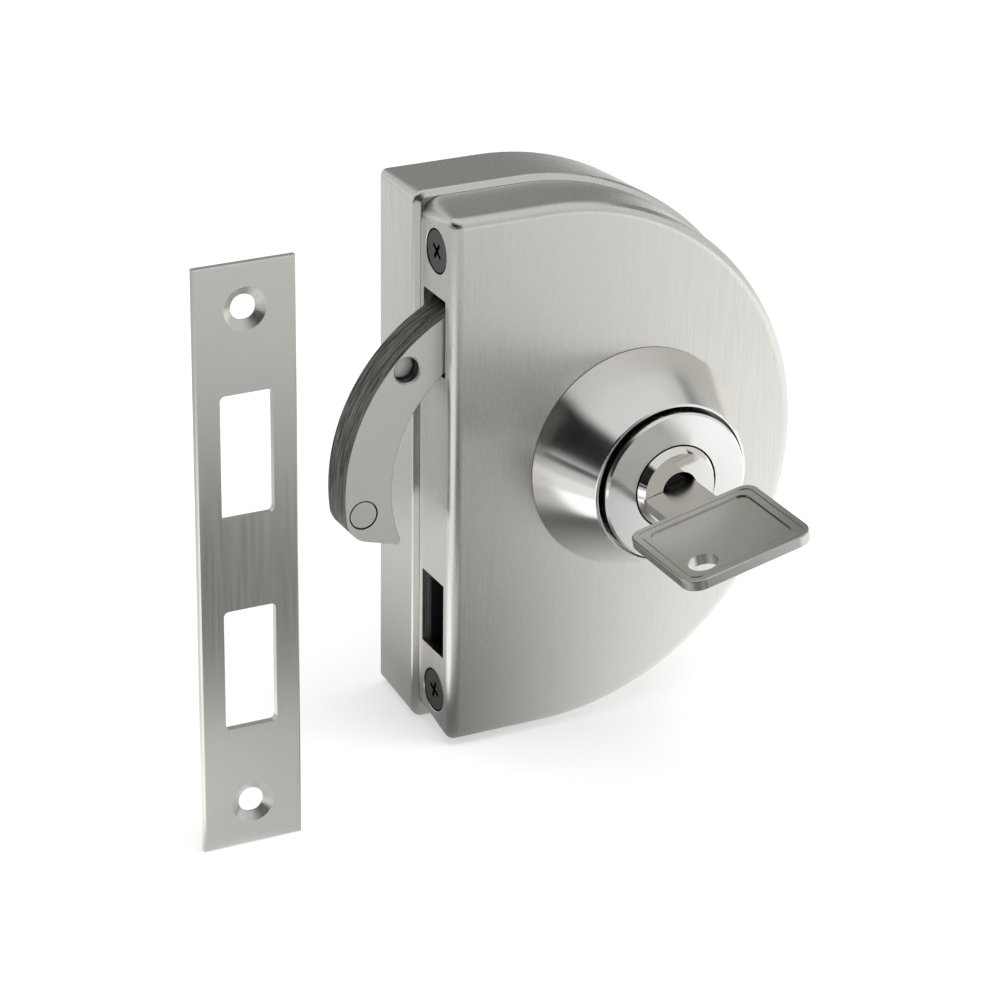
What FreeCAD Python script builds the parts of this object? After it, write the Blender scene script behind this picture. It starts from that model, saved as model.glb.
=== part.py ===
import FreeCAD, Part
import Sketcher
import math
import os
import re

# Glass door lock in millimetres: X runs along the door from its closing edge, Y into the door, +Z up.
# X = 0 is the face of the closing edge, Y = 0 the joint between the two covers, Z = 0 mid-height.

doc = FreeCAD.newDocument("GlassDoorLock")
sheet = doc.addObject("Spreadsheet::Sheet", "Sizes")
SIZES = [
    # the two covers
    ("shoulder", 20.4, "straight run from the closing edge to the nose's half circle"),
    ("nose_radius", 53.8, "radius of the D outline"),
    ("corner_round", 2.8, "inner corner between the closing edge and the D wall"),
    ("joint_corner", 1.2, "front cover's outer corner at the joint"),
    ("face_corner", 4.5, "the same corner at the front face"),
    ("rear_corner", 1.2, "rear cover's outer corner at the joint"),
    ("joint_gap", 0.2, "dark gap between the rims of the covers"),
    ("front_depth", 14.0, "depth of the front cover"),
    ("cover_wall", 1.5, "wall of the front cover"),
    ("face_round", 2.1, "rounded edge round the front face"),
    ("rear_depth", 18.0, "depth of the rear cover"),
    ("flare", 1.2, "how far the rear cover's wall swells past the joint"),
    ("flare_at", 0.8, "depth of that crest behind the rim"),
    ("crest_round", 0.6, "rounded crest"),
    ("draft", 1.0, "how far the wall draws in from the crest to the back"),
    ("back_round", 0.6, "rounded edge round the back"),
    ("rear_wall", 2.0, "wall of the rear cover"),
    # windows and screws of the closing edge
    ("window_front_gap", 0.54, "room in the windows in front of the hook"),
    ("window_rear_gap", 0.86, "room behind the hook"),
    ("window_inner_gap", 0.63, "room at the hook's inner edge"),
    ("window_outer_gap", 3.27, "room at the hook's outer edge"),
    ("edge_screw_ahead", 0.18, "edge screws in front of the middle of the case"),
    ("edge_screw_shift", 0.21, "edge screws beyond the middle between window and side"),
    ("edge_head_radius", 4.05, "radius of their countersunk heads"),
    ("edge_head_gap", 0.3, "dark ring round a head"),
    ("edge_ring_depth", 0.6, "depth of that ring"),
    ("edge_ring_bevel", 0.15, "bevelled outer edge of that ring"),
    ("edge_head_sink", 0.15, "how deep the heads lie"),
    ("edge_neck_radius", 2.75, "small end of the countersunk head"),
    ("edge_shank_radius", 2.0, "radius of their shanks"),
    ("edge_shank_length", 7.0, "length of their shanks"),
    ("head_gap", 0.1, "gap round a countersunk head at its seat"),
    ("thread_gap", 0.05, "gap between a thread and its hole"),
    ("way_gap", 0.15, "gap round a screw or the cylinder in a cover"),
    ("hole_spare", 0.5, "how much deeper a screw hole is than its screw"),
    ("cross_length", 3.7, "length of the cross recess"),
    ("cross_width", 0.8, "width of the cross recess"),
    ("cross_depth", 1.0, "depth of the cross recess"),
    ("upper_cross_turn", 35.0, "turn of the upper cross"),
    ("lower_cross_turn", 20.0, "turn of the lower cross"),
    # case
    ("case_gap", 0.1, "gap between the case plates and the cover's wall"),
    ("front_plate", 1.6, "thickness of the case's front plate"),
    ("back_plate", 1.0, "thickness of the case's back plate"),
    ("front_gasket_thick", 0.9, "thickness of the front gasket"),
    ("lug_reach", 8.0, "length of the blocks that the edge screws enter"),
    ("lug_half", 3.9, "half height of those blocks"),
    ("pillar_x", 46.0, "place of the case pillars"),
    ("pillar_z", 30.0, "height of the case pillars"),
    ("pillar_radius", 2.4, "radius of the case pillars"),
    ("spigot_radius", 1.6, "radius of their riveted ends"),
    # hook bolt
    ("pivot_x", 17.8, "hook's pivot behind the closing edge"),
    ("pivot_radius", 3.0, "radius of the pivot pin"),
    ("running_gap", 0.05, "gap on radius of every running fit"),
    ("hook_inner", 28.4, "inner radius of the hook's crescent"),
    ("hook_outer", 38.05, "outer radius of the crescent"),
    ("hook_plates", 5, "plates of the hook"),
    ("arm_plates", 2, "how many of them carry the arm"),
    ("plate_step", 0.12, "how far every second hook plate stands back"),
    ("hook_float", 0.3, "gap between the hook and the case's back plate"),
    ("hook_front_gap", 0.7, "gap between the hook and the case's front plate"),
    ("hook_bevel", 0.35, "bevelled inner edge of the hook's first plate"),
    ("shown_turn", 74.6, "turn of the hook between withdrawn and shown"),
    ("tail_angle", 20.0, "tail of the crescent, as shown"),
    ("crescent_angle", 190.0, "length of the crescent before its end is cut"),
    ("tip_round", 5.5, "outer corner of the cut end"),
    ("heel_round", 0.8, "inner corner of the cut end"),
    ("hub_radius", 8.6, "hub of the arm plates"),
    ("web_start", 24.0, "lower side of the arm's web"),
    ("web_width", 36.0, "width of the web"),
    ("eye_place", 35.0, "hole in the crescent, from the pivot"),
    ("eye_angle", 136.2, "its angle"),
    ("eye_radius", 2.5, "its radius"),
    ("eye_pin_radius", 2.45, "pin that closes it"),
    ("eye_depth", 2.65, "how far behind the hook's face that pin ends"),
    ("eye_pin_round", 0.35, "rounded end of that pin"),
    ("anti_saw_place", 34.5, "hardened pin, from the pivot"),
    ("anti_saw_angle", 185.9, "its angle"),
    ("anti_saw_radius", 2.65, "its radius"),
    ("anti_saw_ring", 2.93, "wider hole round it in the first plate"),
    ("anti_saw_round", 0.15, "rounded end of the pin"),
    ("rivet_place", 33.2, "rivets of the crescent, from the pivot"),
    ("rivet_angle", 32.0, "angle of the first of them"),
    ("rivet_step", 30.0, "angle between them"),
    ("rivet_radius", 1.5, "their radius"),
    ("bush_radius", 4.4, "outer radius of the hook's bush"),
    # gear train
    ("gear_module", 0.9, "module of the three gears"),
    ("tooth_tip", 0.9, "teeth outside the pitch circle, in modules"),
    ("tooth_root", 1.2, "teeth inside the pitch circle, in modules"),
    ("pressure_angle", 20.0, "pressure angle of the teeth"),
    ("drive_teeth", 11, "teeth of the drive gear"),
    ("idler_teeth", 14, "teeth of the idler"),
    ("hook_teeth", 15, "teeth of the hook's gear"),
    ("backlash", 0.12, "play between teeth on the pitch circle"),
    ("gear_float", 0.3, "gap between the gears and the case's front plate"),
    ("gear_flange_radius", 8.2, "flange of the hook's gear"),
    ("flange_thick", 1.0, "thickness of that flange"),
    ("flange_rivets", 4, "rivets of the flange"),
    ("flange_rivet_place", 7.0, "their place, from the pivot"),
    ("flange_rivet_angle", 45.0, "angle of the first of them"),
    ("flange_rivet_radius", 0.8, "their radius"),
    ("stud_radius", 2.0, "radius of the idler's stud"),
    ("stud_head_radius", 3.2, "radius of its head"),
    ("head_thick", 0.65, "thickness of the stud's and the gear screw's heads"),
    ("side_gap", 0.1, "gap beside a turning piece"),
    # cylinder
    ("cylinder_x", 39.3, "cylinder's axis behind the closing edge"),
    ("cylinder_radius", 14.9, "radius of the cylinder"),
    ("cylinder_proud", 1.8, "how far its face stands before the escutcheon"),
    ("cylinder_bevel", 0.4, "bevel round its face"),
    ("plug_radius", 6.5, "radius of the plug"),
    ("dome_base", 8.3, "radius of the plug's raised front at its foot"),
    ("dome_face", 7.4, "radius of the plug's front face"),
    ("dome_height", 1.5, "height of the raised front"),
    ("dome_gap", 0.3, "dark ring round its foot"),
    ("dome_sink", 0.5, "depth of that ring in the cylinder's face"),
    ("recess_radius", 3.7, "shallow recess round the keyhole"),
    ("recess_depth", 1.3, "its depth"),
    ("clip_radius", 8.1, "outer radius of the plug's clip"),
    ("clip_gap", 0.5, "room round the clip in the case's front plate"),
    ("clip_groove", 5.7, "groove of the clip"),
    ("clip_mouth", 4.0, "half width of the clip's mouth"),
    ("clip_thick", 1.0, "thickness of the clip"),
    ("groove_play", 0.05, "play of the clip in its groove"),
    ("square", 4.0, "square end of the plug"),
    ("gear_screw_radius", 1.0, "screw that holds the drive gear"),
    ("gear_screw_head", 2.5, "radius of its head"),
    ("gear_screw_length", 4.5, "length of its thread in the plug"),
    ("gear_screw_slot", 0.3, "half width of its slot"),
    ("pin_first", 3.0, "first pin behind the cylinder's face"),
    ("pin_pitch", 3.0, "distance between pins"),
    ("pin_radius", 1.35, "radius of the pins"),
    ("driver_length", 3.0, "length of the driver pins"),
    ("spring_room", 3.9, "length of the compressed springs"),
    ("spring_wire", 0.15, "radius of the spring wire"),
    ("spring_turns", 6, "turns of each spring"),
    ("strip_half", 1.85, "half width of the strip over the springs"),
    ("strip_thick", 0.95, "thickness of that strip"),
    ("mount_screw_place", 11.0, "screws that hold the cylinder, from its axis"),
    ("mount_screw_radius", 1.5, "their radius"),
    ("mount_screw_head", 2.9, "radius of their countersunk heads"),
    ("mount_screw_length", 6.0, "length of their threads in the cylinder"),
    # escutcheon
    ("cone_base", 22.35, "radius of the escutcheon at the cover"),
    ("cone_rim", 16.1, "radius of its rim"),
    ("cone_height", 14.4, "height of the escutcheon"),
    ("cone_foot_inset", 0.3, "how far the foot under it stands back"),
    ("cone_foot_height", 0.15, "height of that foot"),
    ("rim_round", 0.45, "rounded rim"),
    ("rim_gap", 0.7, "dark gap between the rim and the cylinder"),
    ("collar", 2.5, "snug part of its bore"),
    # key
    ("key_angle", 13.0, "turn of the key as shown"),
    ("key_thick", 2.2, "thickness of the key"),
    ("blade_left", 5.5, "blade's back, left of the axis"),
    ("blade_right", 2.5, "blade's cut edge, right of the axis"),
    ("blade_length", 17.0, "length of the blade in the plug"),
    ("keyway_gap", 0.1, "gap round the blade"),
    ("neck_left", 7.7, "neck, left of the axis"),
    ("neck_right", 3.2, "neck, right of the axis"),
    ("neck_length", 8.5, "length of the neck"),
    ("bow_left", 16.2, "bow, left of the axis"),
    ("bow_right", 10.6, "bow, right of the axis"),
    ("bow_length", 24.4, "length of the bow"),
    ("bow_back_round", 2.8, "rear corners of the bow"),
    ("bow_front_round", 3.6, "front corners of the bow"),
    ("bow_edge_round", 0.3, "rounded edges of the bow"),
    ("groove_inset", 1.25, "fine groove round the bow, from its edge"),
    ("groove_width", 0.45, "width of that groove"),
    ("groove_depth", 0.12, "depth of that groove"),
    ("panel_inset", 2.9, "border of the bow's sunk panel"),
    ("panel_depth", 0.3, "depth of the sunk panel"),
    ("panel_round", 1.9, "corners of the groove and the panel"),
    ("key_hole_x", 10.3, "hole of the bow, left of the axis"),
    ("key_hole_y", 5.5, "hole of the bow, from its front edge"),
    ("key_hole_radius", 2.9, "radius of that hole"),
    ("key_ring_radius", 4.6, "raised ring round the hole"),
    ("first_cut", 0.4, "first cut of the blade"),
    ("second_cut", 0.9, "second cut"),
    ("third_cut", 0.9, "third cut"),
    ("fourth_cut", 1.6, "fourth cut"),
    ("fifth_cut", 2.1, "fifth cut"),
    # clamp for the glass
    ("post_x", 13.8, "place of the two outer clamp posts"),
    ("post_clear", 0.34, "room between them and the hook's sweep"),
    ("nose_post_x", 59.9, "place of the clamp post in the nose"),
    ("post_radius", 3.6, "radius of the clamp posts"),
    ("post_foot_radius", 3.0, "their riveted feet"),
    ("post_end", 9.0, "rear end of the posts, behind the joint"),
    ("post_gap", 0.4, "gap between a post and what slides over it"),
    ("post_bore_stop", 1.0, "closed end of the posts' bores"),
    ("clamp_stop", 1.5, "end of the clamp screws behind the case's front plate"),
    ("gasket_thick", 1.0, "thickness of the rear gasket"),
    ("gasket_inset", 7.5, "inner edge of the gaskets"),
    ("clamp_plate_thick", 2.5, "thickness of the clamp plate"),
    ("tower_radius", 6.0, "radius of the rear cover's screw towers"),
    ("clamp_screw_radius", 2.5, "radius of the clamp screws"),
    ("clamp_head_radius", 4.25, "radius of their heads"),
    ("clamp_head_height", 4.8, "height of their heads"),
    ("head_sink", 0.3, "how deep the heads lie"),
    ("socket_radius", 2.3, "corner radius of the hexagon sockets"),
    ("socket_depth", 2.4, "depth of the sockets"),
    # strike plate, standing in front of the lock to its left
    ("strike_left", -58.5, "left side of the strike plate"),
    ("strike_front", -31.7, "its front face"),
    ("strike_width", 19.4, "its width"),
    ("strike_height", 114.6, "its height"),
    ("strike_thick", 1.4, "its thickness"),
    ("strike_bevel", 0.3, "its bevelled front edge"),
    ("strike_slot_left", 4.6, "openings, from its left side"),
    ("strike_slot_width", 10.15, "width of the openings"),
    ("strike_slot_near", 9.05, "openings' end nearer the middle"),
    ("strike_slot_far", 32.95, "openings' far end"),
    ("strike_slot_round", 1.0, "corners of the openings"),
    ("strike_hole_height", 48.8, "screw holes above and below the middle"),
    ("strike_hole_radius", 2.4, "radius of the screw holes"),
    ("strike_sink_radius", 4.1, "radius of their countersinks"),
    ("strike_sink_depth", 1.1, "depth of their countersinks"),
    # drawing
    ("overrun", 1.0, "how far a cutting tool reaches past a face"),
]
for row, (name, value, note) in enumerate(SIZES, 1):
    sheet.set("A%d" % row, name)
    sheet.set("B%d" % row, str(value))
    sheet.set("C%d" % row, note)
    sheet.setAlias("B%d" % row, name)
doc.recompute()
NAMES = {name for name, value, note in SIZES}
CUTS = ("first_cut", "second_cut", "third_cut", "fourth_cut", "fifth_cut")


def size(name):
    return float(sheet.get(name))


def tied(text):
    return re.sub(r"[a-z_]+",
                  lambda word: "Sizes." + word.group() if word.group() in NAMES else word.group(), text)


def worked(text):
    return float(sheet.evalExpression(tied("1 * (%s)" % text)))


# Depths along Y, negative in front of the joint

FACE_INSIDE = "-front_depth + cover_wall"
PLATE_REAR = FACE_INSIDE + " + front_plate"
BACK_REAR = "-front_gasket_thick"
BACK_FRONT = BACK_REAR + " - back_plate"
HOOK_REAR = BACK_FRONT + " - hook_float"
HOOK_FRONT = PLATE_REAR + " + hook_front_gap"
PLATE_THICK = "((%s - (%s)) / hook_plates)" % (HOOK_REAR, HOOK_FRONT)
ARM_FRONT = HOOK_REAR + " - arm_plates * " + PLATE_THICK
GEAR_FRONT = PLATE_REAR + " + gear_float"
GEAR_REAR = ARM_FRONT + " - side_gap - flange_thick"
CLAMP_FRONT = "gasket_thick"
CLAMP_REAR = "gasket_thick + clamp_plate_thick"
SCREW_SEAT = "rear_depth - head_sink - clamp_head_height"
CYLINDER_FACE = "-front_depth - cone_height - cylinder_proud"
PLUG_FACE = CYLINDER_FACE + " - side_gap - dome_height"


def place(solid, x, y, z):
    solid.setExpression("Placement.Base.x", tied(x))
    solid.setExpression("Placement.Base.y", tied(y))
    solid.setExpression("Placement.Base.z", tied(z))
    return solid


def rod(name, radius, rear, front, x, z):
    """Round bar along Y between two depths."""
    solid = doc.addObject("Part::Cylinder", name)
    solid.Placement.Rotation = FreeCAD.Rotation(FreeCAD.Vector(1, 0, 0), 90)
    solid.setExpression("Radius", tied(radius))
    solid.setExpression("Height", tied("(%s) - (%s)" % (rear, front)))
    return place(solid, x, rear, z)


def sector(name, radius, rear, front, start, width, x):
    """Part of a round disc between two depths, from a start angle counterclockwise from the front."""
    solid = doc.addObject("Part::Cylinder", name)
    lay = FreeCAD.Rotation(FreeCAD.Vector(1, 0, 0), 90)
    begin = FreeCAD.Rotation(FreeCAD.Vector(0, -1, 0), worked(start))
    solid.Placement.Rotation = begin.multiply(lay)
    solid.setExpression("Radius", tied(radius))
    solid.setExpression("Height", tied("(%s) - (%s)" % (rear, front)))
    solid.setExpression("Angle", tied(width))
    return place(solid, x, rear, "0")


def taper(name, rear_radius, front_radius, rear, front, x, z):
    """Cone along Y between two depths."""
    solid = doc.addObject("Part::Cone", name)
    solid.Placement.Rotation = FreeCAD.Rotation(FreeCAD.Vector(1, 0, 0), 90)
    solid.setExpression("Radius1", tied(rear_radius))
    solid.setExpression("Radius2", tied(front_radius))
    solid.setExpression("Height", tied("(%s) - (%s)" % (rear, front)))
    return place(solid, x, rear, z)


def bar_x(name, radius, start, end, y, z):
    """Round bar along X."""
    solid = doc.addObject("Part::Cylinder", name)
    solid.Placement.Rotation = FreeCAD.Rotation(FreeCAD.Vector(0, 1, 0), 90)
    solid.setExpression("Radius", tied(radius))
    solid.setExpression("Height", tied("(%s) - (%s)" % (end, start)))
    return place(solid, start, y, z)


def cone_x(name, start_radius, end_radius, start, end, y, z):
    """Cone along X."""
    solid = doc.addObject("Part::Cone", name)
    solid.Placement.Rotation = FreeCAD.Rotation(FreeCAD.Vector(0, 1, 0), 90)
    solid.setExpression("Radius1", tied(start_radius))
    solid.setExpression("Radius2", tied(end_radius))
    solid.setExpression("Height", tied("(%s) - (%s)" % (end, start)))
    return place(solid, start, y, z)


def bar_z(name, radius, bottom, top, x, y):
    """Round bar along Z."""
    solid = doc.addObject("Part::Cylinder", name)
    solid.setExpression("Radius", tied(radius))
    solid.setExpression("Height", tied("(%s) - (%s)" % (top, bottom)))
    return place(solid, x, y, bottom)


def block(name, left, right, front, rear, bottom, top):
    """Box between six planes."""
    solid = doc.addObject("Part::Box", name)
    solid.setExpression("Length", tied("(%s) - (%s)" % (right, left)))
    solid.setExpression("Width", tied("(%s) - (%s)" % (rear, front)))
    solid.setExpression("Height", tied("(%s) - (%s)" % (top, bottom)))
    return place(solid, left, front, bottom)


def joined(name, solids):
    whole = doc.addObject("Part::MultiFuse", name)
    whole.Shapes = solids
    return whole


def less(name, base, tools):
    """The base with each tool taken out of it."""
    tool = tools[0] if len(tools) == 1 else joined(name + "Tools", tools)
    result = doc.addObject("Part::Cut", name)
    result.Base = base
    result.Tool = tool
    return result


def grouped(name, solids):
    whole = doc.addObject("Part::Compound", name)
    whole.Links = solids
    return whole


def edges_where(shape, test):
    return [number for number, edge in enumerate(shape.Edges, 1) if test(edge)]


def rounded(name, base, radius, test, kind="Part::Fillet"):
    """Fillet or chamfer of the base's edges that pass a test."""
    doc.recompute()
    result = doc.addObject(kind, name)
    result.Base = base
    result.Edges = [(number, size(radius), size(radius)) for number in edges_where(base.Shape, test)]
    return result


def turned(solid, degrees, x):
    """Turns a finished piece about an axis along Y at height 0, counterclockwise from the front."""
    turn = FreeCAD.Rotation(FreeCAD.Vector(0, -1, 0), degrees)
    solid.Placement = FreeCAD.Placement(FreeCAD.Vector(), turn, FreeCAD.Vector(x, 0, 0))
    return solid


PIECES = []


def piece(solid, label):
    solid.Label = label
    PIECES.append(solid)
    return solid


# D outline of the covers, plates and gaskets


def outline(body, name, inset, depth, corner_text="corner_round"):
    """Sketch of the D outline, drawn in by an inset, at a depth along Y."""
    sketch = body.newObject("Sketcher::SketchObject", name)
    plane = [item for item in body.Origin.OriginFeatures if item.Role == "XZ_Plane"][0]
    sketch.AttachmentSupport = [(plane, "")]
    sketch.MapMode = "FlatFace"
    sketch.setExpression("AttachmentOffset.Base.z", tied("-(%s)" % depth))
    left = worked(inset)
    radius = size("nose_radius") - left
    corner = worked(corner_text)
    shoulder = size("shoulder")
    point = lambda x, z: FreeCAD.Vector(x, z, 0)
    up = FreeCAD.Vector(0, 0, 1)
    arc = lambda x, z, r, start, end: Part.ArcOfCircle(
        Part.Circle(point(x, z), up, r), math.radians(start), math.radians(end))
    sketch.addGeometry(Part.LineSegment(point(left, -radius + corner), point(left, radius - corner)), False)
    sketch.addGeometry(arc(left + corner, radius - corner, corner, 90, 180), False)
    sketch.addGeometry(Part.LineSegment(point(left + corner, radius), point(shoulder, radius)), False)
    sketch.addGeometry(arc(shoulder, 0, radius, -90, 90), False)
    sketch.addGeometry(Part.LineSegment(point(shoulder, -radius), point(left + corner, -radius)), False)
    sketch.addGeometry(arc(left + corner, -radius + corner, corner, 180, 270), False)
    rule = lambda *facts: sketch.addConstraint(Sketcher.Constraint(*facts))
    rule("Tangent", 0, 2, 1, 2)
    rule("Tangent", 1, 1, 2, 1)
    rule("Tangent", 2, 2, 3, 2)
    rule("Tangent", 3, 1, 4, 1)
    rule("Tangent", 4, 2, 5, 2)
    rule("Tangent", 5, 1, 0, 1)
    rule("Vertical", 0)
    rule("Horizontal", 2)
    rule("Horizontal", 4)
    rule("PointOnObject", 3, 3, -1)
    named = [
        (rule("DistanceX", -1, 1, 3, 3, shoulder), "Shoulder", "shoulder"),
        (rule("Radius", 3, radius), "Nose", "nose_radius - (%s)" % inset),
        (rule("Radius", 1, corner), "UpperCorner", corner_text),
        (rule("Radius", 5, corner), "LowerCorner", corner_text),
        (rule("DistanceX", 0, 1, 3, 3, shoulder - left), "Edge", "shoulder - (%s)" % inset),
    ]
    for number, label, text in named:
        sketch.renameConstraint(number, label)
        sketch.setExpression("Constraints." + label, tied(text))
    sketch.Visibility = False
    return sketch


def slab(name, inset, front, rear):
    """Flat D-shaped slab between two depths."""
    body = doc.addObject("PartDesign::Body", name)
    sketch = outline(body, name + "Outline", inset, rear)
    pad = body.newObject("PartDesign::Pad", name + "Pad")
    pad.Profile = sketch
    pad.setExpression("Length", tied("(%s) - (%s)" % (rear, front)))
    doc.recompute()
    return body


def on_depth(edge, depth):
    return all(abs(vertex.Y - depth) < 0.001 for vertex in edge.Vertexes) and edge.BoundBox.YLength < 0.001


# Front cover: a deep drawn shell with a rounded face edge, two hook windows and two countersunk screw holes

front_run = block("FrontRun", "0", "shoulder", "-front_depth", "0", "-nose_radius", "nose_radius")
front_nose = sector("FrontNose", "nose_radius", "0", "-front_depth", "-90", "180", "shoulder")
front_blank = joined("FrontBlank", [front_run, front_nose])
front_blank.Refine = True
doc.recompute()
front_corners = doc.addObject("Part::Fillet", "FrontCorners")
front_corners.Base = front_blank
corner_edges = []
closing_corner = lambda edge: edge.BoundBox.XMax < 0.001 and edge.BoundBox.ZLength < 0.001
for number in edges_where(front_blank.Shape, closing_corner):
    near_joint = front_blank.Shape.Edges[number - 1].Vertexes[0].Y > -0.001
    ends = ("joint_corner", "face_corner") if near_joint else ("face_corner", "joint_corner")
    corner_edges.append((number, size(ends[0]), size(ends[1])))
front_corners.Edges = corner_edges
front_edge = lambda edge: on_depth(edge, -size("front_depth"))
front_round = rounded("FrontRound", front_corners, "face_round", front_edge)
front_room = slab("FrontRoom", "cover_wall", FACE_INSIDE, "overrun")

# The windows follow the hook's crescent, and the edge screws sit midway between a window and the side.
WINDOW_FRONT = HOOK_FRONT + " - window_front_gap"
WINDOW_REAR = HOOK_REAR + " + window_rear_gap"
WINDOW_LOW = "(sqrt(hook_inner * hook_inner - pivot_x * pivot_x) - window_inner_gap)"
WINDOW_HIGH = "(sqrt(hook_outer * hook_outer - pivot_x * pivot_x) + window_outer_gap)"
SCREW_Y = "((%s + %s) / 2 - edge_screw_ahead)" % (PLATE_REAR, BACK_FRONT)
SCREW_Z = "((%s + nose_radius) / 2 + edge_screw_shift)" % WINDOW_HIGH
EDGE_PLACES = [("Upper", SCREW_Z, "upper_cross_turn"), ("Lower", "-" + SCREW_Z, "lower_cross_turn")]
cover_tools = [front_room]
cover_tools.append(rod("CylinderHole", "cylinder_radius + way_gap", "0", "-front_depth - overrun",
                       "cylinder_x", "0"))
for word, low, high in (("Upper", WINDOW_LOW, WINDOW_HIGH), ("Lower", "-" + WINDOW_HIGH, "-" + WINDOW_LOW)):
    cover_tools.append(block(word + "Window", "-overrun", "cover_wall + overrun", WINDOW_FRONT, WINDOW_REAR,
                             low, high))
EDGE_RING = "edge_head_radius + edge_head_gap"
for word, height, turn in EDGE_PLACES:
    cover_tools.append(cone_x(word + "Countersink", "edge_head_radius + head_gap",
                              "edge_neck_radius + head_gap", "0", "cover_wall", SCREW_Y, height))
    cover_tools.append(bar_x(word + "HeadRing", EDGE_RING, "-overrun", "edge_ring_depth", SCREW_Y, height))
    cover_tools.append(cone_x(word + "RingBevel", EDGE_RING + " + edge_ring_bevel", EDGE_RING, "0",
                              "edge_ring_bevel", SCREW_Y, height))
piece(less("FrontCover", front_round, cover_tools), "front_cover")

# Rear cover: its wall swells just behind the joint and draws in toward the back, with three screw towers

CREST = "joint_gap + flare_at"
rear_body = doc.addObject("PartDesign::Body", "RearShell")
rear_lip = rear_body.newObject("PartDesign::Pad", "RearShellLip")
rear_lip.Profile = outline(rear_body, "RearShellJoint", "0", "joint_gap", "rear_corner")
rear_lip.setExpression("Length", tied("flare_at"))
rear_lip.setExpression("TaperAngle", tied("atan(flare / flare_at)"))
rear_lip.Reversed = True
doc.recompute()
rear_skirt = rear_body.newObject("PartDesign::Pad", "RearShellSkirt")
rear_skirt.Profile = outline(rear_body, "RearShellCrest", "-flare", CREST, "rear_corner + flare")
rear_skirt.setExpression("Length", tied("rear_depth - (%s)" % CREST))
rear_skirt.setExpression("TaperAngle", tied("-atan(draft / (rear_depth - (%s)))" % CREST))
rear_skirt.Reversed = True
doc.recompute()
rear_before = rear_skirt
REAR_ROUNDS = [("RearShellCrestRound", CREST, "crest_round"),
               ("RearShellRound", "rear_depth", "back_round")]
for name, depth, radius in REAR_ROUNDS:
    rear_round = rear_body.newObject("PartDesign::Fillet", name)
    rear_edges = edges_where(rear_before.Shape, lambda edge: on_depth(edge, worked(depth)))
    rear_round.Base = (rear_before, ["Edge%d" % number for number in rear_edges])
    rear_round.setExpression("Radius", tied(radius))
    doc.recompute()
    rear_before = rear_round
rear_room = rear_body.newObject("PartDesign::Pocket", "RearShellRoom")
rear_room.Profile = outline(rear_body, "RearShellInner", "rear_wall", "joint_gap")
rear_room.setExpression("Length", tied("rear_depth - rear_wall - joint_gap"))
rear_room.Reversed = False
doc.recompute()
if rear_room.Shape.Volume > 0.5 * rear_round.Shape.Volume:
    raise SystemExit("The rear cover's room was cut the wrong way")

# The clamp posts stand just outside the hook's sweep.
POST_REACH = "(hook_outer + post_radius + post_clear)"
POST_Z = "sqrt(%s * %s - (pivot_x - post_x) * (pivot_x - post_x))" % (POST_REACH, POST_REACH)
POSTS = [("Upper", "post_x", POST_Z), ("Lower", "post_x", "-" + POST_Z), ("Nose", "nose_post_x", "0")]
towers = []
tower_tools = []
for word, x, z in POSTS:
    towers.append(rod(word + "Tower", "tower_radius", "rear_depth - rear_wall", CLAMP_REAR, x, z))
    tower_tools.append(rod(word + "PostRoom", "post_radius + post_gap", "post_end + post_gap",
                           CLAMP_REAR + " - overrun", x, z))
    tower_tools.append(rod(word + "ScrewWay", "clamp_screw_radius + way_gap", "rear_depth", "post_end",
                           x, z))
    tower_tools.append(rod(word + "HeadRoom", "clamp_head_radius + head_gap", "rear_depth + overrun",
                           SCREW_SEAT, x, z))
rear_whole = joined("RearWhole", [rear_body] + towers)
piece(less("RearCover", rear_whole, tower_tools), "rear_cover")

# Case: a front and a back plate held apart by pillars, screw blocks and the clamp posts

CASE_INSET = "cover_wall + case_gap"
SCREW_PLACES = [("Low", "cylinder_x", "-mount_screw_place"),
                ("Side", "cylinder_x + mount_screw_place", "0")]
PILLARS = [("Upper", "pillar_x", "pillar_z"), ("Lower", "pillar_x", "-pillar_z")]
PITCH_A = "(gear_module * (drive_teeth + idler_teeth) / 2)"
PITCH_B = "(gear_module * (hook_teeth + idler_teeth) / 2)"
SPAN = "(cylinder_x - pivot_x)"
ALONG = "((%s * %s - %s * %s + %s * %s) / (2 * %s))" % (
    PITCH_B, PITCH_B, PITCH_A, PITCH_A, SPAN, SPAN, SPAN)
IDLER_X = "pivot_x + " + ALONG
IDLER_Z = "sqrt(%s * %s - %s * %s)" % (PITCH_B, PITCH_B, ALONG, ALONG)

PLATE_BEHIND = PLATE_REAR + " + overrun"
PLATE_BEFORE = FACE_INSIDE + " - overrun"
plate_tools = [rod("PlugWay", "clip_radius + clip_gap", PLATE_BEHIND, PLATE_BEFORE, "cylinder_x", "0")]
plate_tools.append(rod("FrontPivotHole", "pivot_radius", PLATE_BEHIND, PLATE_BEFORE, "pivot_x", "0"))
plate_tools.append(rod("StudHole", "stud_radius", PLATE_BEHIND, PLATE_BEFORE, IDLER_X, IDLER_Z))
for word, x, z in POSTS:
    plate_tools.append(rod(word + "FootHole", "post_foot_radius", PLATE_BEHIND, PLATE_BEFORE, x, z))
for word, x, z in PILLARS:
    plate_tools.append(rod(word + "FrontSpigotHole", "spigot_radius", PLATE_BEHIND, PLATE_BEFORE, x, z))
for word, x, z in SCREW_PLACES:
    plate_tools.append(taper(word + "PlateSink", "mount_screw_head + head_gap",
                             "mount_screw_radius + head_gap", PLATE_REAR, FACE_INSIDE, x, z))
front_slab = slab("FrontPlateSlab", CASE_INSET, FACE_INSIDE, PLATE_REAR)
piece(less("CaseFrontPlate", front_slab, plate_tools), "case_front_plate")

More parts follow.
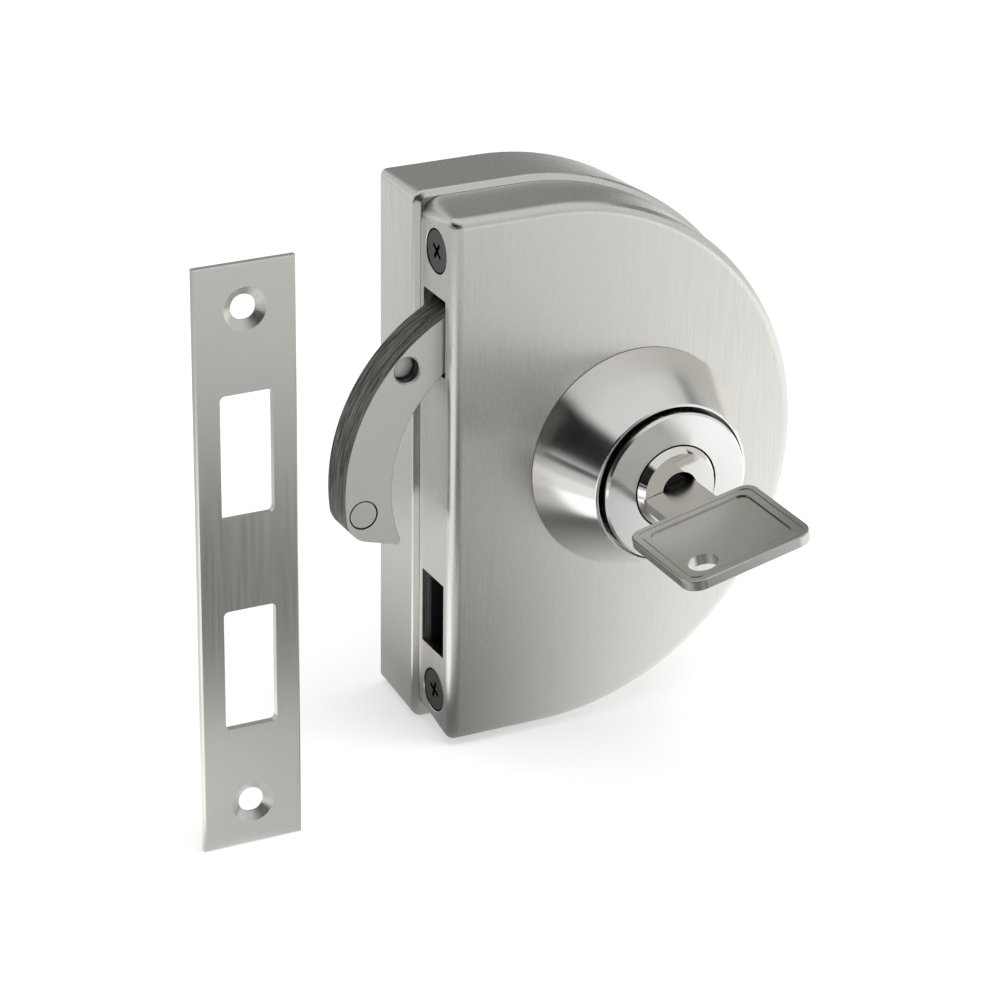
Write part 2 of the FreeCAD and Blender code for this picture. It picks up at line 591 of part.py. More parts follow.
BACK_BEHIND = BACK_REAR + " + overrun"
BACK_BEFORE = BACK_FRONT + " - overrun"
back_tools = [rod("BackPivotHole", "pivot_radius", BACK_BEHIND, BACK_BEFORE, "pivot_x", "0")]
for word, x, z in POSTS:
    back_tools.append(rod(word + "PostHole", "post_radius + running_gap", BACK_BEHIND, BACK_BEFORE, x, z))
for word, x, z in PILLARS:
    back_tools.append(rod(word + "BackSpigotHole", "spigot_radius", BACK_BEHIND, BACK_BEFORE, x, z))
back_slab = slab("BackPlateSlab", CASE_INSET, BACK_FRONT, BACK_REAR)
piece(less("CaseBackPlate", back_slab, back_tools), "case_back_plate")

pillars = []
for word, x, z in PILLARS:
    shaft = rod(word + "PillarShaft", "pillar_radius", BACK_FRONT, PLATE_REAR, x, z)
    ends = rod(word + "PillarEnds", "spigot_radius", BACK_REAR, FACE_INSIDE, x, z)
    pillars.append(joined(word + "Pillar", [shaft, ends]))
piece(grouped("CasePillars", pillars), "case_pillars")

lugs = []
edge_screws = []
for word, height, turn in EDGE_PLACES:
    lug = block(word + "LugBlock", "cover_wall", "cover_wall + lug_reach", PLATE_REAR, BACK_FRONT,
                height + " - lug_half", height + " + lug_half")
    hole = bar_x(word + "LugHole", "edge_shank_radius + thread_gap", "cover_wall - overrun",
                 "cover_wall + edge_shank_length + hole_spare", SCREW_Y, height)
    lugs.append(less(word + "Lug", lug, [hole]))
    head = cone_x(word + "EdgeHead", "edge_head_radius", "edge_neck_radius", "edge_head_sink", "cover_wall",
                  SCREW_Y, height)
    shank = bar_x(word + "EdgeShank", "edge_shank_radius", "cover_wall", "cover_wall + edge_shank_length",
                  SCREW_Y, height)
    upright_slot = block(word + "CrossUp", "-overrun", "edge_head_sink + cross_depth", "-cross_width / 2",
                         "cross_width / 2", "-cross_length / 2", "cross_length / 2")
    level_slot = block(word + "CrossOver", "-overrun", "edge_head_sink + cross_depth", "-cross_length / 2",
                       "cross_length / 2", "-cross_width / 2", "cross_width / 2")
    cross = joined(word + "Cross", [upright_slot, level_slot])
    cross.Placement.Rotation = FreeCAD.Rotation(FreeCAD.Vector(1, 0, 0), size(turn))
    place(cross, "0", SCREW_Y, height)
    edge_screws.append(less(word + "EdgeScrew", joined(word + "EdgeBlank", [head, shank]), [cross]))
piece(grouped("EdgeLugs", lugs), "edge_screw_blocks")
piece(grouped("EdgeScrews", edge_screws), "edge_screws")

piece(rod("PivotPin", "pivot_radius", BACK_REAR, FACE_INSIDE, "pivot_x", "0"), "hook_pivot_pin")

stud_shaft = rod("StudShaft", "stud_radius", GEAR_REAR + " + side_gap", FACE_INSIDE, IDLER_X, IDLER_Z)
stud_head = rod("StudHead", "stud_head_radius", GEAR_REAR + " + side_gap + head_thick",
                GEAR_REAR + " + side_gap", IDLER_X, IDLER_Z)
piece(joined("IdlerStud", [stud_shaft, stud_head]), "idler_stud")

# Hook bolt: three ring plates and two arm plates, riveted, drawn withdrawn and then turned out to the
# shown place. Withdrawn, its cut end lies flush with the closing edge.

HOOK_TURN = size("shown_turn")


def ring_place(radius, degrees):
    """Place of something on the hook, as the words for x and z in the withdrawn position."""
    angle = "(%s - shown_turn)" % degrees
    return "pivot_x + (%s) * cos(%s * 1 deg)" % (radius, angle), "(%s) * sin(%s * 1 deg)" % (radius, angle)


def hook_holes(word, rear, front, first, arm):
    """Holes of a hook plate: the eye and its pin, the hardened pin (free in the first plate), the rivets."""
    holes = [
        ("Eye", "eye_pin_radius" if arm else "eye_radius", "eye_place", "eye_angle"),
        ("AntiSaw", "anti_saw_ring" if first else "anti_saw_radius", "anti_saw_place", "anti_saw_angle"),
        ("RivetOne", "rivet_radius", "rivet_place", "rivet_angle"),
        ("RivetTwo", "rivet_radius", "rivet_place", "rivet_angle + rivet_step"),
        ("RivetThree", "rivet_radius", "rivet_place", "rivet_angle + 2 * rivet_step"),
    ]
    tools = []
    for label, radius, far, angle in holes:
        x, z = ring_place(far, angle)
        tools.append(rod(word + label, radius, rear + " + overrun", front + " - overrun", x, z))
    return tools


def bevel_tool(name, radius, front, x, z):
    """Cone that bevels the front edge of a round opening."""
    return taper(name, radius, radius + " + hook_bevel + overrun", front + " + hook_bevel",
                 front + " - overrun", x, z)


def cut_corner(edge, outer):
    """Tells the two corners of the crescent's cut end."""
    box = edge.BoundBox
    on_face = abs(box.XMax) < 0.001 and box.XLength < 0.001 and box.ZLength < 0.001
    return on_face and box.ZMin > 0 and (box.ZMin > size("hook_inner")) == outer


plate_count = int(size("hook_plates"))
arm_start = plate_count - int(size("arm_plates"))
flange_count = int(size("flange_rivets"))
FLANGE_ANGLES = ["(flange_rivet_angle + %d * 360 / flange_rivets)" % step for step in range(flange_count)]
for number in range(plate_count):
    word = "Plate%d" % (number + 1)
    front = HOOK_FRONT + " + %d * %s" % (number, PLATE_THICK)
    rear = front + " + " + PLATE_THICK
    back = " * %d" % (number % 2)
    inner = "hook_inner + plate_step" + back
    ring = sector(word + "Disc", "hook_outer - plate_step" + back, rear, front, "tail_angle - shown_turn",
                  "crescent_angle", "pivot_x")
    middle = rod(word + "Middle", inner, rear + " + overrun", front + " - overrun", "pivot_x", "0")
    beyond = block(word + "Beyond", "-hook_outer", "0", front + " - overrun", rear + " + overrun", "0",
                   "hook_outer")
    crescent = less(word + "Ring", ring, [middle, beyond])
    tip = rounded(word + "Tip", crescent, "tip_round", lambda edge: cut_corner(edge, True))
    whole = rounded(word + "Heel", tip, "heel_round", lambda edge: cut_corner(edge, False))
    tools = hook_holes(word, rear, front, number == 0, number >= arm_start)
    if number == 0:
        x, z = ring_place("eye_place", "eye_angle")
        tools.append(bevel_tool("InnerBevel", inner, front, "pivot_x", "0"))
        tools.append(bevel_tool("EyeBevel", "eye_radius", front, x, z))
    if number >= arm_start:
        web = sector(word + "Web", "hook_inner + overrun", rear, front, "web_start - shown_turn",
                     "web_width", "pivot_x")
        hub = rod(word + "Hub", "hub_radius", rear, front, "pivot_x", "0")
        whole = joined(word + "Whole", [whole, web, hub])
        tools.append(rod(word + "BushHole", "bush_radius", rear + " + overrun", front + " - overrun",
                         "pivot_x", "0"))
        for step, angle in enumerate(FLANGE_ANGLES):
            x, z = ring_place("flange_rivet_place", angle)
            tools.append(rod(word + "FlangeRivet%d" % step, "flange_rivet_radius", rear + " + overrun",
                             front + " - overrun", x, z))
    piece(turned(less(word, whole, tools), HOOK_TURN, size("pivot_x")), "hook_plate_%d" % (number + 1))


def hook_pin(name, radius, edge_round, front, x, z):
    """Pin of the hook with a rounded front end."""
    blank = rod(name + "Blank", radius, HOOK_REAR, front, x, z)
    return rounded(name + "Round", blank, edge_round, lambda edge: on_depth(edge, worked(front)))


x, z = ring_place("anti_saw_place", "anti_saw_angle")
hard_pin = hook_pin("AntiSaw", "anti_saw_radius", "anti_saw_round", HOOK_FRONT, x, z)
piece(turned(grouped("AntiSawWhole", [hard_pin]), HOOK_TURN, size("pivot_x")), "hook_hardened_pin")
x, z = ring_place("eye_place", "eye_angle")
eye_pin = hook_pin("EyePin", "eye_pin_radius", "eye_pin_round", HOOK_FRONT + " + eye_depth", x, z)
piece(turned(grouped("EyePinWhole", [eye_pin]), HOOK_TURN, size("pivot_x")), "hook_eye_pin")

rivets = []
for number in range(3):
    x, z = ring_place("rivet_place", "rivet_angle + %d * rivet_step" % number)
    rivets.append(rod("Rivet%d" % (number + 1), "rivet_radius", HOOK_REAR, HOOK_FRONT, x, z))
piece(turned(grouped("HookRivets", rivets), HOOK_TURN, size("pivot_x")), "hook_rivets")

bush_rod = rod("BushRod", "bush_radius", BACK_FRONT + " - side_gap", PLATE_REAR + " + side_gap",
               "pivot_x", "0")
bush_bore = rod("BushBore", "pivot_radius + running_gap", BACK_FRONT, PLATE_REAR, "pivot_x", "0")
piece(less("HookBush", bush_rod, [bush_bore]), "hook_bush")

# Gears: involute teeth on a disc, with the tooth that is named first at angle 0


def gear_shape(teeth, turn, x, z, front, rear):
    """Solid involute gear between two depths, its first tooth at an angle seen from the front."""
    module = size("gear_module")
    pitch = module * teeth / 2
    base = pitch * math.cos(math.radians(size("pressure_angle")))
    tip = pitch + size("tooth_tip") * module
    root = pitch - size("tooth_root") * module
    slope = lambda r: math.sqrt(max((r / base) ** 2 - 1, 0))
    spread = lambda r: slope(r) - math.atan(slope(r))
    half = (math.pi * module / 2 - size("backlash")) / 2 / pitch
    point = lambda r, angle: FreeCAD.Vector(r * math.cos(angle), r * math.sin(angle), 0)
    edges = []
    for tooth in range(teeth):
        middle = 2 * math.pi * tooth / teeth
        after = 2 * math.pi * (tooth + 1) / teeth
        wide = half + spread(pitch)
        radii = [base + (tip - base) * step / 5 for step in range(6)]
        rise = [point(r, middle - wide + spread(r)) for r in radii]
        fall = [point(r, middle + wide - spread(r)) for r in reversed(radii)]
        foot = point(root, middle - wide)
        edges.append(Part.makeLine(foot, rise[0]))
        for curve in (rise, fall):
            spline = Part.BSplineCurve()
            spline.interpolate(curve)
            edges.append(spline.toShape())
            if curve is rise:
                edges.append(Part.Arc(rise[-1], point(tip, middle), fall[0]).toShape())
        heel = point(root, middle + wide)
        edges.append(Part.makeLine(fall[-1], heel))
        valley = point(root, (middle + after) / 2)
        edges.append(Part.Arc(heel, valley, point(root, after - wide)).toShape())
    face = Part.Face(Part.Wire(edges))
    solid = face.extrude(FreeCAD.Vector(0, 0, rear - front))
    lay = FreeCAD.Rotation(FreeCAD.Vector(1, 0, 0), 90)
    begin = FreeCAD.Rotation(FreeCAD.Vector(0, -1, 0), math.degrees(turn))
    solid.Placement = FreeCAD.Placement(FreeCAD.Vector(x, rear, z), begin.multiply(lay))
    return solid


def gear(name, teeth, turn, x, z, front, rear):
    solid = doc.addObject("Part::Feature", name)
    solid.Shape = gear_shape(teeth, turn, x, z, front, rear)
    return solid


drive_count = int(size("drive_teeth"))
idler_count = int(size("idler_teeth"))
hook_count = int(size("hook_teeth"))
near_pitch = size("gear_module") * (drive_count + idler_count) / 2
far_pitch = size("gear_module") * (hook_count + idler_count) / 2
span = size("cylinder_x") - size("pivot_x")
along = (far_pitch ** 2 - near_pitch ** 2 + span ** 2) / (2 * span)
idler_x = size("pivot_x") + along
idler_z = math.sqrt(far_pitch ** 2 - along ** 2)
gear_front = worked(GEAR_FRONT)
gear_rear = worked(GEAR_REAR)

# The drive gear's first tooth points at the idler, whose gap takes it, and the hook's gear follows.
drive_turn = math.atan2(idler_z, idler_x - size("cylinder_x"))
idler_turn = drive_turn + math.pi + math.pi / idler_count
toward_hook = math.atan2(-idler_z, size("pivot_x") - idler_x)
lead = (toward_hook - idler_turn) % (2 * math.pi / idler_count)
hook_turn = toward_hook + math.pi + lead * idler_count / hook_count + math.pi / hook_count

hook_teeth = gear("HookTeeth", hook_count, hook_turn, size("pivot_x"), 0, gear_front, gear_rear)
flange = rod("GearFlange", "gear_flange_radius", GEAR_REAR + " + flange_thick", GEAR_REAR, "pivot_x", "0")
flange_tools = [rod("GearBore", "bush_radius", BACK_FRONT, PLATE_REAR, "pivot_x", "0")]
flange_rivets = []
for step, angle in enumerate(FLANGE_ANGLES):
    x = "pivot_x + flange_rivet_place * cos(%s * 1 deg)" % angle
    z = "flange_rivet_place * sin(%s * 1 deg)" % angle
    flange_tools.append(rod("FlangeHole%d" % step, "flange_rivet_radius", HOOK_REAR + " + overrun",
                            GEAR_REAR, x, z))
    flange_rivets.append(rod("FlangeRivet%d" % step, "flange_rivet_radius", HOOK_REAR, GEAR_REAR, x, z))
piece(less("HookGear", joined("HookGearWhole", [hook_teeth, flange]), flange_tools), "hook_gear")
piece(grouped("FlangeRivets", flange_rivets), "hook_gear_rivets")

idler_blank = gear("IdlerTeeth", idler_count, idler_turn, idler_x, idler_z, gear_front, gear_rear)
idler_bore = rod("IdlerBore", "stud_radius + running_gap", GEAR_REAR + " + overrun",
                 GEAR_FRONT + " - overrun", IDLER_X, IDLER_Z)
piece(less("IdlerGear", idler_blank, [idler_bore]), "idler_gear")

KEY_TURN = size("key_angle")
AXIS_X = size("cylinder_x")
drive_blank = gear("DriveTeeth", drive_count, drive_turn - math.radians(KEY_TURN), AXIS_X, 0, gear_front,
                   gear_rear)
square_hole = block("SquareHole", "cylinder_x - square / 2 - running_gap",
                    "cylinder_x + square / 2 + running_gap", GEAR_FRONT + " - overrun",
                    GEAR_REAR + " + overrun", "-square / 2 - running_gap", "square / 2 + running_gap")
piece(turned(less("DriveGear", drive_blank, [square_hole]), KEY_TURN, AXIS_X), "drive_gear")

# Cylinder: a short round body held to the case by two screws, with five pin chambers under a pressed strip

CYLINDER_REAR = FACE_INSIDE
body_rod = rod("CylinderRod", "cylinder_radius", CYLINDER_REAR, CYLINDER_FACE, "cylinder_x", "0")
face_edge = lambda edge: on_depth(edge, worked(CYLINDER_FACE))
body_blank = rounded("CylinderBlank", body_rod, "cylinder_bevel", face_edge, "Part::Chamfer")
PIN_TOP = "plug_radius + running_gap + driver_length"
STRIP_LOW = PIN_TOP + " + spring_room"
PIN_DEPTHS = [CYLINDER_FACE + " + pin_first + %d * pin_pitch" % number for number in range(len(CUTS))]
STRIP_FRONT = PIN_DEPTHS[0] + " - pin_radius - running_gap"
STRIP_REAR = PIN_DEPTHS[-1] + " + pin_radius + running_gap"
body_tools = [rod("PlugBore", "plug_radius + running_gap", CYLINDER_REAR + " + overrun",
                  CYLINDER_FACE + " - overrun", "cylinder_x", "0")]
body_tools.append(rod("DomeSink", "dome_base + dome_gap", CYLINDER_FACE + " + dome_sink",
                      CYLINDER_FACE + " - overrun", "cylinder_x", "0"))
body_tools.append(block("StripSlot", "cylinder_x - strip_half", "cylinder_x + strip_half", STRIP_FRONT,
                        STRIP_REAR, STRIP_LOW, "cylinder_radius + overrun"))
drivers = []
for number, depth in enumerate(PIN_DEPTHS):
    body_tools.append(bar_z("Chamber%d" % number, "pin_radius + running_gap", "plug_radius - overrun",
                            STRIP_LOW + " + strip_thick / 2", "cylinder_x", depth))
    drivers.append(bar_z("Driver%d" % number, "pin_radius", "plug_radius + running_gap", PIN_TOP,
                         "cylinder_x", depth))
mount_screws = []
for word, x, z in SCREW_PLACES:
    body_tools.append(rod(word + "MountHole", "mount_screw_radius + thread_gap",
                          CYLINDER_REAR + " + overrun",
                          CYLINDER_REAR + " - mount_screw_length - hole_spare", x, z))
    head = taper(word + "MountHead", "mount_screw_head", "mount_screw_radius", PLATE_REAR, CYLINDER_REAR,
                 x, z)
    shank = rod(word + "MountShank", "mount_screw_radius", CYLINDER_REAR,
                CYLINDER_REAR + " - mount_screw_length", x, z)
    mount_screws.append(joined(word + "MountScrew", [head, shank]))
piece(less("CylinderBody", body_blank, body_tools), "cylinder_body")
piece(grouped("Drivers", drivers), "driver_pins")
piece(grouped("MountScrews", mount_screws), "cylinder_screws")
piece(block("SpringStrip", "cylinder_x - strip_half", "cylinder_x + strip_half", STRIP_FRONT, STRIP_REAR,
            STRIP_LOW, STRIP_LOW + " + strip_thick"), "spring_strip")

coil = size("pin_radius") - size("spring_wire") - size("running_gap")
room = size("spring_room")
wire = size("spring_wire")
springs = []
for depth in PIN_DEPTHS:
    rise = room - 2 * wire
    helix = Part.makeHelix(rise / size("spring_turns"), rise, coil)
    across = Part.Wire([Part.makeCircle(wire, FreeCAD.Vector(coil, 0, 0), FreeCAD.Vector(0, 1, 0))])
    spring = Part.Wire(helix.Edges).makePipeShell([across], True, True)
    spring.Placement.Base = FreeCAD.Vector(size("cylinder_x"), worked(depth), worked(PIN_TOP) + wire)
    springs.append(spring)
spring_set = doc.addObject("Part::Feature", "DriverSprings")
spring_set.Shape = Part.makeCompound(springs)
piece(spring_set, "driver_springs")

# Escutcheon: a turned cone round the cylinder, its bore snug at the cover and open at the rim

CONE_FRONT = "-front_depth - cone_height"
CONE_REAR = "-front_depth - cone_foot_height"
cone_blank = taper("ConeBlank", "cone_base", "cone_rim", CONE_REAR, CONE_FRONT, "cylinder_x", "0")
cone_round = rounded("ConeRound", cone_blank, "rim_round", lambda edge: on_depth(edge, worked(CONE_FRONT)))
cone_foot = rod("ConeFoot", "cone_base - cone_foot_inset", "-front_depth", CONE_REAR, "cylinder_x", "0")
cone_tools = [
    rod("ConeBore", "cylinder_radius + running_gap", "-front_depth + overrun", CONE_FRONT + " - overrun",
        "cylinder_x", "0"),
    rod("ConeRoom", "cylinder_radius + rim_gap", "-front_depth - collar", CONE_FRONT + " - overrun",
        "cylinder_x", "0"),
]
piece(less("Escutcheon", joined("ConeWhole", [cone_round, cone_foot]), cone_tools), "escutcheon_cone")

# Plug and key, drawn with the key flat and then turned to the shown angle

CLIP_REAR = CYLINDER_REAR + " + side_gap + clip_thick"
SQUARE_FRONT = GEAR_FRONT + " - side_gap"
DOME_REAR = CYLINDER_FACE + " - side_gap"
plug_core = rod("PlugCore", "plug_radius", SQUARE_FRONT, DOME_REAR, "cylinder_x", "0")
plug_dome = taper("PlugDome", "dome_base", "dome_face", DOME_REAR, PLUG_FACE, "cylinder_x", "0")
plug_flange = rod("PlugFlange", "dome_base", DOME_REAR + " + dome_sink", DOME_REAR, "cylinder_x", "0")
plug_square = block("PlugSquare", "cylinder_x - square / 2", "cylinder_x + square / 2", SQUARE_FRONT,
                    GEAR_REAR, "-square / 2", "square / 2")
groove_disc = rod("GrooveDisc", "plug_radius + overrun", CLIP_REAR + " + groove_play",
                  CYLINDER_REAR + " + side_gap - groove_play", "cylinder_x", "0")
groove_core = rod("GrooveCore", "clip_groove", CLIP_REAR + " + overrun", CYLINDER_REAR + " - overrun",
                  "cylinder_x", "0")
KEY_REAR = PLUG_FACE + " + blade_length"
plug_tools = [
    less("ClipGroove", groove_disc, [groove_core]),
    taper("Recess", "blade_right + keyway_gap", "recess_radius", PLUG_FACE + " + recess_depth", PLUG_FACE,
          "cylinder_x", "0"),
    block("Keyway", "cylinder_x - blade_left - keyway_gap", "cylinder_x + blade_right + keyway_gap",
          PLUG_FACE + " - overrun", KEY_REAR + " + keyway_gap", "-key_thick / 2 - keyway_gap",
          "key_thick / 2 + keyway_gap"),
    rod("GearScrewHole", "gear_screw_radius + thread_gap", GEAR_REAR + " + overrun",
        GEAR_REAR + " - gear_screw_length - hole_spare", "cylinder_x", "0"),
]
key_pins = []
for number, depth in enumerate(PIN_DEPTHS):
    plug_tools.append(bar_x("PlugChamber%d" % number, "pin_radius + running_gap", "cylinder_x",
                            "cylinder_x + plug_radius + overrun", depth, "0"))
    key_pins.append(bar_x("KeyPin%d" % number, "pin_radius",
                          "cylinder_x + blade_right - %s + running_gap" % CUTS[number],
                          "cylinder_x + sqrt(plug_radius * plug_radius - pin_radius * pin_radius)", depth,
                          "0"))
plug_whole = joined("PlugWhole", [plug_core, plug_flange, plug_dome, plug_square])
piece(turned(less("Plug", plug_whole, plug_tools), KEY_TURN, AXIS_X), "plug")
piece(turned(grouped("KeyPins", key_pins), KEY_TURN, AXIS_X), "key_pins")

clip_disc = rod("ClipDisc", "clip_radius", CLIP_REAR, CYLINDER_REAR + " + side_gap", "cylinder_x", "0")
clip_tools = [
    rod("ClipBore", "clip_groove", CLIP_REAR + " + overrun", CYLINDER_REAR + " - overrun", "cylinder_x",
        "0"),
    block("ClipMouth", "cylinder_x", "cylinder_x + clip_radius + overrun", CYLINDER_REAR + " - overrun",
          CLIP_REAR + " + overrun", "-clip_mouth", "clip_mouth"),
]
piece(less("PlugClip", clip_disc, clip_tools), "plug_clip")

screw_head = rod("GearScrewHead", "gear_screw_head", GEAR_REAR + " + head_thick", GEAR_REAR,
                 "cylinder_x", "0")
screw_shank = rod("GearScrewShank", "gear_screw_radius", GEAR_REAR, GEAR_REAR + " - gear_screw_length",
                  "cylinder_x", "0")
screw_slot = block("GearScrewSlot", "cylinder_x - gear_screw_head", "cylinder_x + gear_screw_head",
                   GEAR_REAR + " + head_thick / 2", GEAR_REAR + " + head_thick + overrun",
                   "-gear_screw_slot", "gear_screw_slot")
piece(less("GearScrew", joined("GearScrewBlank", [screw_head, screw_shank]), [screw_slot]),
      "drive_gear_screw")

NECK_REAR = PLUG_FACE + " - side_gap"
BOW_REAR = NECK_REAR + " - neck_length"
BOW_FRONT = BOW_REAR + " - bow_length"
LOW = "-key_thick / 2"
HIGH = "key_thick / 2"
blade = block("Blade", "cylinder_x - blade_left", "cylinder_x + blade_right", NECK_REAR + " - overrun",
              KEY_REAR, LOW, HIGH)
blade_tools = []
for number, depth in enumerate(PIN_DEPTHS):
    blade_tools.append(block("Cut%d" % number, "cylinder_x + blade_right - %s" % CUTS[number],
                             "cylinder_x + blade_right + overrun", depth + " - pin_pitch / 2",
                             KEY_REAR + " + overrun", LOW + " - overrun", HIGH + " + overrun"))
cut_blade = less("CutBlade", blade, blade_tools)
neck = block("Neck", "cylinder_x - neck_left", "cylinder_x + neck_right", BOW_REAR + " - overrun",
             NECK_REAR, LOW, HIGH)
bow_blank = block("BowBlank", "cylinder_x - bow_left", "cylinder_x + bow_right", BOW_FRONT, BOW_REAR, LOW,
                  HIGH)
upright = lambda edge: edge.BoundBox.XLength < 0.001 and edge.BoundBox.YLength < 0.001
at_rear = lambda edge: upright(edge) and abs(edge.BoundBox.YMin - worked(BOW_REAR)) < 0.001
at_front = lambda edge: upright(edge) and abs(edge.BoundBox.YMin - worked(BOW_FRONT)) < 0.001
bow_back = rounded("BowBack", bow_blank, "bow_back_round", at_rear)
bow_front = rounded("BowFront", bow_back, "bow_front_round", at_front)
bow = rounded("Bow", bow_front, "bow_edge_round", lambda edge: edge.BoundBox.ZLength < 0.001)
HOLE_X = "cylinder_x - key_hole_x"
HOLE_Y = BOW_FRONT + " + key_hole_y"


def bow_inset(name, inset, low, high):
    """Block with rounded corners that follows the bow's outline."""
    blank = block(name + "Blank", "cylinder_x - bow_left + " + inset,
                  "cylinder_x + bow_right - (%s)" % inset, BOW_FRONT + " + " + inset,
                  BOW_REAR + " - (%s)" % inset, low, high)
    return rounded(name, blank, "panel_round", upright)


key_tools = [bar_z("KeyHole", "key_hole_radius", LOW + " - overrun", HIGH + " + overrun", HOLE_X, HOLE_Y)]
for word, face, side in (("Upper", HIGH, 1), ("Lower", LOW, -1)):
    sunk = face + " - %d * panel_depth" % side
    scored = face + " - %d * groove_depth" % side
    past = face + " + %d * overrun" % side
    panel = bow_inset(word + "Panel", "panel_inset", *sorted((sunk, past), key=worked))
    ring = bar_z(word + "Ring", "key_ring_radius", LOW + " - 2 * overrun", HIGH + " + 2 * overrun", HOLE_X,
                 HOLE_Y)
    key_tools.append(less(word + "Sunk", panel, [ring]))
    groove = bow_inset(word + "Groove", "groove_inset", *sorted((scored, past), key=worked))
    island = bow_inset(word + "Island", "groove_inset + groove_width", LOW + " - 2 * overrun",
                       HIGH + " + 2 * overrun")
    key_tools.append(less(word + "Scored", groove, [island]))
key_whole = joined("KeyWhole", [cut_blade, neck, bow])
piece(turned(less("Key", key_whole, key_tools), KEY_TURN, AXIS_X), "key")

# Clamp for the glass: threaded posts through the notch in the glass, rear screws, plate and gaskets

posts = []
screws = []
for word, x, z in POSTS:
    shaft = rod(word + "PostShaft", "post_radius", "post_end", PLATE_REAR, x, z)
    foot = rod(word + "PostFoot", "post_foot_radius", PLATE_REAR, FACE_INSIDE, x, z)
    bore = rod(word + "PostBore", "clamp_screw_radius + thread_gap", "post_end + overrun",
               PLATE_REAR + " + post_bore_stop", x, z)
    posts.append(less(word + "Post", joined(word + "PostWhole", [shaft, foot]), [bore]))
    head = rod(word + "ClampHead", "clamp_head_radius", "rear_depth - head_sink", SCREW_SEAT, x, z)
    shank = rod(word + "ClampShank", "clamp_screw_radius", SCREW_SEAT, PLATE_REAR + " + clamp_stop", x, z)
    socket = doc.addObject("Part::Prism", word + "Socket")
    socket.Polygon = 6
    socket.Placement.Rotation = FreeCAD.Rotation(FreeCAD.Vector(1, 0, 0), 90)
    socket.setExpression("Circumradius", tied("socket_radius"))
    socket.setExpression("Height", tied("socket_depth + overrun"))
    place(socket, x, "rear_depth - head_sink + overrun", z)
    screws.append(less(word + "ClampScrew", joined(word + "ClampBlank", [head, shank]), [socket]))
piece(grouped("ClampPosts", posts), "clamp_posts")
piece(grouped("ClampScrews", screws), "clamp_screws")

PLATE_INSET = "rear_wall + case_gap"
plate_slab = slab("ClampSlab", PLATE_INSET, CLAMP_FRONT, CLAMP_REAR)
clamp_tools = []
front_pad_tools = [slab("FrontGasketInner", "gasket_inset", BACK_REAR + " - overrun", "overrun")]
rear_pad_tools = [slab("RearGasketInner", "gasket_inset", "-overrun", CLAMP_FRONT + " + overrun")]
for word, x, z in POSTS:
    for tools, name, reach in ((clamp_tools, "ClampHole", CLAMP_REAR),
                               (front_pad_tools, "FrontPadHole", "0"),
                               (rear_pad_tools, "RearPadHole", CLAMP_FRONT)):
        tools.append(rod(word + name, "post_radius + post_gap", reach + " + overrun",
                         BACK_REAR + " - overrun", x, z))
piece(less("ClampPlate", plate_slab, clamp_tools), "clamp_plate")

front_pad_ring = slab("FrontGasketOuter", CASE_INSET, BACK_REAR, "0")
piece(less("FrontGasket", front_pad_ring, front_pad_tools), "front_gasket")
rear_pad_ring = slab("RearGasketOuter", PLATE_INSET, "0", CLAMP_FRONT)
piece(less("RearGasket", rear_pad_ring, rear_pad_tools), "rear_gasket")

# Strike plate for the other door leaf, standing beside the lock on the same ground

STRIKE_BOTTOM = "-nose_radius - flare"
STRIKE_MIDDLE = STRIKE_BOTTOM + " + strike_height / 2"
STRIKE_REAR = "strike_front + strike_thick"
strike_blank = block("StrikeBlank", "strike_left", "strike_left + strike_width", "strike_front",
                     STRIKE_REAR, STRIKE_BOTTOM, STRIKE_BOTTOM + " + strike_height")
strike_rim = lambda edge: on_depth(edge, size("strike_front"))
strike_edge = rounded("StrikeEdge", strike_blank, "strike_bevel", strike_rim, "Part::Chamfer")
along_depth = lambda edge: edge.BoundBox.XLength < 0.001 and edge.BoundBox.ZLength < 0.001
strike_tools = []
for word, low, high in (
        ("Upper", STRIKE_MIDDLE + " + strike_slot_near", STRIKE_MIDDLE + " + strike_slot_far"),
        ("Lower", STRIKE_MIDDLE + " - strike_slot_far", STRIKE_MIDDLE + " - strike_slot_near")):
    slot = block(word + "SlotBlank", "strike_left + strike_slot_left",
                 "strike_left + strike_slot_left + strike_slot_width", "strike_front - overrun",
                 STRIKE_REAR + " + overrun", low, high)
    strike_tools.append(rounded(word + "Slot", slot, "strike_slot_round", along_depth))
for word, sign in (("Upper", " + "), ("Lower", " - ")):
    middle = STRIKE_MIDDLE + sign + "strike_hole_height"
    strike_tools.append(rod(word + "StrikeHole", "strike_hole_radius", STRIKE_REAR + " + overrun",
                            "strike_front - overrun", "strike_left + strike_width / 2", middle))
    strike_tools.append(taper(word + "StrikeSink", "strike_hole_radius", "strike_sink_radius",
                              "strike_front + strike_sink_depth", "strike_front",
                              "strike_left + strike_width / 2", middle))
piece(less("StrikePlate", strike_edge, strike_tools), "strike_plate")

# Check and write every piece

doc.recompute()
faults = [item.Name for item in doc.Objects if "Invalid" in item.State or "Error" in item.State]
if faults:
    raise SystemExit("Faulty objects: " + ", ".join(faults))
os.makedirs("parts", exist_ok=True)
for solid in PIECES:
    if solid.Shape.isNull() or not solid.Shape.isValid():
        raise SystemExit("Bad shape: " + solid.Label)
    solid.Shape.exportStep("parts/%s.step" % solid.Label)
    box = solid.Shape.BoundBox
    print("%-20s %d solids %9.1f mm3  x %.2f..%.2f  y %.2f..%.2f  z %.2f..%.2f" % (
        solid.Label, len(solid.Shape.Solids), solid.Shape.Volume,
        box.XMin, box.XMax, box.YMin, box.YMax, box.ZMin, box.ZMax))
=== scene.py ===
from math import radians, sin, cos
import bpy
import bmesh
from mathutils import Matrix, Vector


